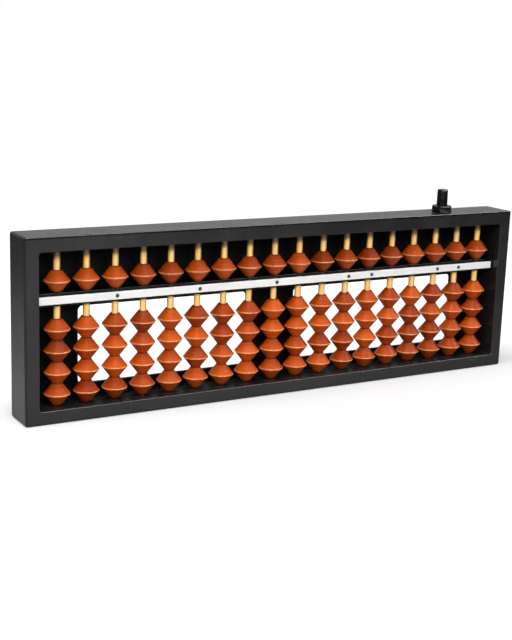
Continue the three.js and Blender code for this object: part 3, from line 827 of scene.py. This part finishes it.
def make_spring_tree():
    """A round wire wound into a helix about Z."""
    tree, given, out = new_geometry_tree("coil_spring", [
        ("Turns", "NodeSocketFloat"), ("Coil Radius", "NodeSocketFloat"), ("Height", "NodeSocketFloat"),
        ("Wire Radius", "NodeSocketFloat"), ("Base", "NodeSocketVector"), ("Material", "NodeSocketMaterial"),
    ])
    coil = add(tree, "GeometryNodeCurveSpiral", {
        "Resolution": 28, "Rotations": given.outputs["Turns"], "Start Radius": given.outputs["Coil Radius"],
        "End Radius": given.outputs["Coil Radius"], "Height": given.outputs["Height"],
    })
    section = add(tree, "GeometryNodeCurvePrimitiveCircle", {
        "Resolution": 10, "Radius": given.outputs["Wire Radius"],
    })
    wire = add(tree, "GeometryNodeCurveToMesh", {
        "Curve": coil.outputs["Curve"], "Profile Curve": section.outputs["Curve"], "Fill Caps": True,
    })
    placed = add(tree, "GeometryNodeTransform", {
        "Geometry": wire.outputs["Mesh"], "Translation": given.outputs["Base"],
    })
    return finish_tree(tree, given, out, placed.outputs["Geometry"])


ROW_TREE = make_row_tree()
SCATTER_TREE = make_scatter_tree()
SPRING_TREE = make_spring_tree()


def shade(mesh, angle=35):
    """Smooth faces, with sharp edges kept past an angle."""
    for polygon in mesh.polygons:
        polygon.use_smooth = True
    mesh.set_sharp_from_angle(angle=math.radians(angle))


def bead_profile():
    """From the top of the bore, out over the neck, down one cone, round the rim and down the other cone."""
    half = BEAD_HEIGHT / 2
    lip = 0.2 * MM
    rim_turn = 62
    upper = [(BEAD_BORE, half), (BEAD_NECK - lip, half), (BEAD_NECK, half - lip)]
    cone_end = (BEAD_RADIUS - BEAD_RIM + BEAD_RIM * math.cos(math.radians(rim_turn)),
                BEAD_RIM * math.sin(math.radians(rim_turn)))
    for share in (0.035, 0.34, 0.66, 0.97):
        r = BEAD_NECK + (cone_end[0] - BEAD_NECK) * share
        z = (half - lip) + (cone_end[1] - (half - lip)) * share
        upper.append((r, z))
    rim = []
    for degrees in range(rim_turn, -rim_turn - 1, -15):
        angle = math.radians(degrees)
        rim.append((BEAD_RADIUS - BEAD_RIM + BEAD_RIM * math.cos(angle), BEAD_RIM * math.sin(angle)))
    lower = [(r, -z) for r, z in reversed(upper)]
    return [(r, z + half) for r, z in upper + rim + lower]


def mark_bead(mesh):
    """Marks a painted highlight round the rim and a painted shade at the two necks, where the beads meet."""
    marks = mesh.attributes.new("bead_mark", "FLOAT", "POINT")
    for vertex, mark in zip(mesh.vertices, marks.data):
        from_rim = abs(vertex.co.z - BEAD_HEIGHT / 2)
        rim = 1 - max(0.0, from_rim - 0.22 * MM) / (0.2 * MM)
        neck = (BEAD_HEIGHT / 2 - from_rim < 0.22 * MM) * 1.0
        mark.value = max(rim, 0.0) - neck


def make_beads():
    """One upper bead and one stack of four lower beads on every rod, each on its own body."""
    model = object_from("bead_shape", turned(bead_profile(), BEAD_SIDES))
    shade(model.data)
    mark_bead(model.data)
    kinds = (("upper_bead_", 1, "bead_upper_"), ("lower_beads_", LOWER_BEADS, "beads_lower_"))
    for index, name in enumerate(COLUMN_NAMES):
        for part, count, piece_name in kinds:
            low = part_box(part + name)[0].z
            mesh = run_tree(ROW_TREE, piece_name + name, {
                "Shape": model, "Count": count, "Start": (COLUMN_X[index], ROD_Y, low),
                "Step": (0.0, 0.0, BEAD_HEIGHT), "Seed": 31 * index + 7 * count,
                "Tone Name": "bead_tone", "Material": BEAD_ORANGE,
            })
            piece = object_from(piece_name + name, mesh)
            settle(piece, part.split("_")[0] + "_" + name, "bead_plastic", part + name)
    bpy.data.objects.remove(model)


def make_rods():
    """Eighteen bamboo rods, with broken corners at the ends."""
    chamfer = 0.3 * MM
    profile = [(0, ROD_LOW), (ROD_RADIUS - chamfer, ROD_LOW), (ROD_RADIUS, ROD_LOW + chamfer),
               (ROD_RADIUS, ROD_HIGH - chamfer), (ROD_RADIUS - chamfer, ROD_HIGH), (0, ROD_HIGH)]
    model = object_from("rod_shape", turned(profile, 32))
    shade(model.data)
    mesh = run_tree(ROW_TREE, "bamboo_rods", {
        "Shape": model, "Count": len(COLUMN_X), "Start": (COLUMN_X[0], ROD_Y, 0.0),
        "Step": (PITCH, 0.0, 0.0), "Seed": 11, "Tone Name": "rod_tone", "Material": BAMBOO,
    })
    bpy.data.objects.remove(model)
    settle(object_from("bamboo_rods", mesh), "case", "bamboo", "rods")


def scattered(name, model_shape, places, material):
    """One mesh of a small shape repeated at a list of places."""
    model = object_from("small_shape", model_shape)
    shade(model.data)
    points = bpy.data.meshes.new("places")
    points.from_pydata([tuple(place) for place in places], [], [])
    holder = object_from("places", points)
    mesh = run_tree(SCATTER_TREE, name, {"Shape": model, "Points": holder, "Material": material})
    bpy.data.objects.remove(model)
    bpy.data.objects.remove(holder)
    return object_from(name, mesh)


def make_dots():
    """Printed unit dots on the strip: thin discs, a hair proud of it."""
    thick = 0.03 * MM
    profile = [(0, 0), (DOT_RADIUS, 0), (DOT_RADIUS - thick, thick), (0, thick)]
    disc = turned(profile, 28, (0, 0, 0), "Y")
    bmesh.ops.transform(disc, matrix=Matrix.Rotation(math.pi, 4, "Z"), verts=disc.verts)
    height = (STRIP_LOW.z + STRIP_HIGH.z) / 2
    face = STRIP_LOW.y + 0.005 * MM
    places = [(COLUMN_X[column - 1] + DOT_SHIFT, face, height) for column in DOTTED_COLUMNS]
    settle(scattered("unit_dots", disc, places, DOT_PAINT), "case", "black_plastic")


def make_screws():
    """Small pan-head screws with a cross recess."""
    low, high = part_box("panel_screw_1")
    length = high.y - low.y
    head = 0.6 * MM
    profile = [(0, 0), (0.6 * MM, 0), (0.9 * MM, 0.5 * MM), (0.9 * MM, length - head),
               (1.55 * MM, length - head), (1.7 * MM, length - head + 0.12 * MM),
               (1.62 * MM, length - 0.15 * MM), (1.3 * MM, length - 0.03 * MM), (0, length)]
    arm, blade, deep = 1.0 * MM, 0.17 * MM, 0.4 * MM
    cross = [block((-arm, length - deep, -blade), (arm, length + MM, blade)),
             block((-blade, length - deep, -arm), (blade, length + MM, arm))]
    screw = combined("screw", turned(profile, 28, (0, 0, 0), "Y"), cross)
    places = [(middle(f"panel_screw_{n}").x, low.y, middle(f"panel_screw_{n}").z) for n in range(1, 5)]
    piece = scattered("panel_screws", screw, places, PLATED_STEEL)
    settle(piece, "case", "steel", *[f"panel_screw_{n}" for n in range(1, 5)])


def make_pads():
    """Round rubber pads with a rolled edge and a shallow dished face."""
    low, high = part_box("rubber_pad_1")
    thick = high.y - low.y
    radius = (high.x - low.x) / 2
    profile = [(0, 0), (radius - 0.1 * MM, 0), (radius, 0.1 * MM), (radius, thick - 0.3 * MM),
               (radius - 0.09 * MM, thick - 0.09 * MM), (radius - 0.3 * MM, thick),
               (radius - 0.7 * MM, thick),
               (radius - MM, thick - 0.15 * MM), (0, thick - 0.18 * MM)]
    places = [(middle(f"rubber_pad_{n}").x, low.y, middle(f"rubber_pad_{n}").z) for n in range(1, 5)]
    piece = scattered("rubber_pads", turned(profile, 40, (0, 0, 0), "Y"), places, PAD_RUBBER)
    settle(piece, "case", "rubber_pad", *[f"rubber_pad_{n}" for n in range(1, 5)])


# ---------------------------------------------------------------- reset mechanism

def make_clearing_bar(node, name, body):
    """A thin bar with a round hole for each rod, and on the lower one a tab for the push rod.
    Its toothed ends keep the CAD shape."""
    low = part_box(node)[0].z
    is_lower = node == "lower_clearing_bar"
    high = low + (LOWER_BAR_THICK if is_lower else UPPER_BAR_THICK)
    blade = block((-BAR_END, BAR_FRONT, low), (BAR_END, BAR_BACK, high))
    holes = rod_holes(low - MM, low + 2 * MM)
    if is_lower:
        left, right, back = PUSH_ROD_TAB
        blade = combined("blade", blade, [block((left, 0, low), (right, back, high))], "UNION")
    parts = [combined("blade", blade, holes)]
    for side in (-1, 1):
        parts.append(cad_shape(node, (side * BAR_END, 0, 0), (side, 0, 0)))
    bar = softened(name, merged(parts), BEAM_BLACK, 0.15 * MM, segments=2)
    settle(bar, body, "black_plastic", node)


def make_button():
    """The button: a slightly tapered plunger with a rounded crown, on the CAD foot. Round it is a flanged
    collar, and below it the push rod."""
    crown = 0.7 * MM
    neck = BUTTON_RADIUS - 0.12 * MM
    dome = 0.02 * MM
    profile = [(0, BUTTON_LOW), (BUTTON_RADIUS, BUTTON_LOW), (BUTTON_RADIUS, 90 * MM),
               (neck, BUTTON_TOP - crown)]
    for degrees in (25, 50, 75):
        angle = math.radians(degrees)
        profile.append((neck - crown + crown * math.cos(angle),
                        BUTTON_TOP - crown + crown * math.sin(angle) - dome))
    profile += [(neck - crown, BUTTON_TOP - dome), (0, BUTTON_TOP)]
    relief = block((BUTTON_AXIS.x - 2 * BUTTON_RADIUS, BUTTON_AXIS.y - 2 * BUTTON_RADIUS, BUTTON_LOW - MM),
                   (RELIEF_RIGHT, BUTTON_AXIS.y + 2 * BUTTON_RADIUS, RELIEF_TOP))
    plunger = combined("plunger", turned(profile, 64, BUTTON_AXIS), [relief])
    foot = cad_shape("reset_button", (0, 0, BUTTON_LOW), (0, 0, -1))
    button = softened("reset_plunger", merged([plunger, foot]), BUTTON_BLACK, 0.12 * MM, segments=2)
    settle(button, "press", "gloss_black", "reset_button")

    low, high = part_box("button_collar")
    outer, bore, stem, edge = 5.1 * MM, 3.0 * MM, 4.2 * MM, 0.4 * MM
    base = CASE_HIGH.z + 0.02 * MM
    profile = [(bore, low.z), (stem, low.z), (stem, base), (outer - 0.1 * MM, base), (outer, base + 0.2 * MM),
               (outer, high.z - edge)]
    for degrees in (30, 60, 90):
        angle = math.radians(degrees)
        profile.append((outer - edge + edge * math.cos(angle), high.z - edge + edge * math.sin(angle)))
    profile += [(bore + 0.9 * MM, high.z), (bore + 0.7 * MM, high.z - 0.25 * MM),
                (bore + 0.2 * MM, high.z - 0.25 * MM), (bore, high.z - 0.4 * MM)]
    collar = object_from("flanged_collar", turned(profile, 64, BUTTON_AXIS), BUTTON_BLACK)
    shade(collar.data)
    settle(collar, "case", "gloss_black", "button_collar")

    rod = softened("flat_push_rod", cad_shape("push_rod"), BEAM_BLACK, 0.2 * MM)
    settle(rod, "press", "black_plastic", "push_rod")


def make_gear_train():
    """The pinion, its pin and the return spring in each side rail."""
    for side in ("left", "right"):
        pinion = softened(side + "_gear", cad_shape(side + "_pinion"), GEAR_ACETAL, 0.1 * MM, segments=2)
        settle(pinion, side + "_gear", "white_acetal", side + "_pinion")
        low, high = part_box(side + "_pinion_pin")
        centre = (low + high) / 2
        half, radius, edge = (high.x - low.x) / 2, (high.z - low.z) / 2, 0.2 * MM
        profile = [(0, -half), (radius - edge, -half), (radius, edge - half), (radius, half - edge),
                   (radius - edge, half), (0, half)]
        pin = object_from(side + "_gear_pin", turned(profile, 32, centre, "X"), PLATED_STEEL)
        shade(pin.data)
        settle(pin, "case", "steel", side + "_pinion_pin")

        low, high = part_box(side + "_return_spring")
        wire = 0.25 * MM
        mesh = run_tree(SPRING_TREE, side + "_coil", {
            "Turns": 7.0, "Coil Radius": 1.25 * MM, "Height": high.z - low.z - 2 * wire, "Wire Radius": wire,
            "Base": ((low.x + high.x) / 2, (low.y + high.y) / 2, low.z + wire), "Material": PLATED_STEEL,
        })
        shade(mesh, 50)
        spring = settle(object_from(side + "_coil", mesh), "case", "steel", side + "_return_spring")
        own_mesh(spring)


# ---------------------------------------------------------------- studio

def make_floor():
    shape = bmesh.new()
    bmesh.ops.create_grid(shape, x_segments=2, y_segments=2, size=FLOOR_REACH)
    floor = object_from("studio_floor", shape, make_floor_finish())


def soft_light(name, place, aim, width, height, watts, diffuse, glossy):
    """A rectangular area light that the camera can't see. It can leave out diffuse or glossy light."""
    data = bpy.data.lights.new(name, "AREA")
    data.shape = "RECTANGLE"
    data.size = width
    data.size_y = height
    data.energy = watts
    lamp = bpy.data.objects.new(name, data)
    bpy.context.scene.collection.objects.link(lamp)
    lamp.location = place
    lamp.rotation_euler = (Vector(aim) - Vector(place)).to_track_quat("-Z", "Y").to_euler()
    lamp.visible_camera = False
    lamp.visible_diffuse = diffuse
    lamp.visible_glossy = glossy


def make_world():
    """White where it is seen directly, dimmer as a source of light."""
    world = bpy.data.worlds.new("studio_air")
    world.use_nodes = True
    tree = world.node_tree
    seen = tree.nodes.new("ShaderNodeLightPath").outputs["Is Camera Ray"]
    background = tree.nodes["Background"]
    background.inputs["Color"].default_value = (1, 1, 1, 1)
    tree.links.new(in_range(tree, seen, 0.0, 1.0, AIR_LIGHT, 1.0), background.inputs["Strength"])
    bpy.context.scene.world = world


def make_studio():
    make_floor()
    make_world()
    centre = (CASE_LOW + CASE_HIGH) / 2
    # Name, place from the case's middle, width, height, watts, lights diffuse, lights glossy.
    lights = [
        ("top_box", (-0.18, -0.13, 0.90), 0.7, 0.4, 16.5, True, False),
        ("front_fill", (-0.35, -0.85, 0.60), 0.8, 0.3, 10.0, True, False),
        ("rim_glint", (-0.30, -0.95, 0.42), 1.3, 0.32, 20.0, False, True),
        ("back_glint", (0.65, 0.49, 0.92), 1.2, 0.25, 9.0, False, True),
        ("edge_glint", (0.72, -0.95, 0.66), 1.5, 0.14, 27.0, False, True),
        ("back_paper", (0.45, 1.1, 0.30), 2.6, 0.6, 1.6, True, True),
    ]
    for name, offset, width, height, watts, diffuse, glossy in lights:
        soft_light(name, centre + Vector(offset), centre, width, height, watts, diffuse, glossy)
    bpy.context.scene.view_settings.view_transform = "Standard"


def make_camera():
    """Set from the front left, a little above the case."""
    data = bpy.data.cameras.new("studio_camera")
    data.sensor_width = 36
    data.lens = CAMERA_LENS
    data.clip_start = 0.01
    camera = bpy.data.objects.new("studio_camera", data)
    bpy.context.scene.collection.objects.link(camera)
    turn = Matrix.Rotation(math.radians(CAMERA_TURN), 4, "Z")
    tilt = Matrix.Rotation(math.radians(CAMERA_TILT), 4, "X")
    roll = Matrix.Rotation(math.radians(CAMERA_ROLL), 4, "Z")
    camera.matrix_world = Matrix.Translation(CAMERA_PLACE) @ turn @ tilt @ roll
    bpy.context.scene.camera = camera


make_case()
make_panel()
make_beam()
make_dots()
make_rods()
make_beads()
make_clearing_bar("lower_clearing_bar", "lower_bar", "press")
make_clearing_bar("upper_clearing_bar", "upper_bar", "upper_bar")
make_button()
make_gear_train()
make_screws()
make_pads()
make_studio()
make_camera()
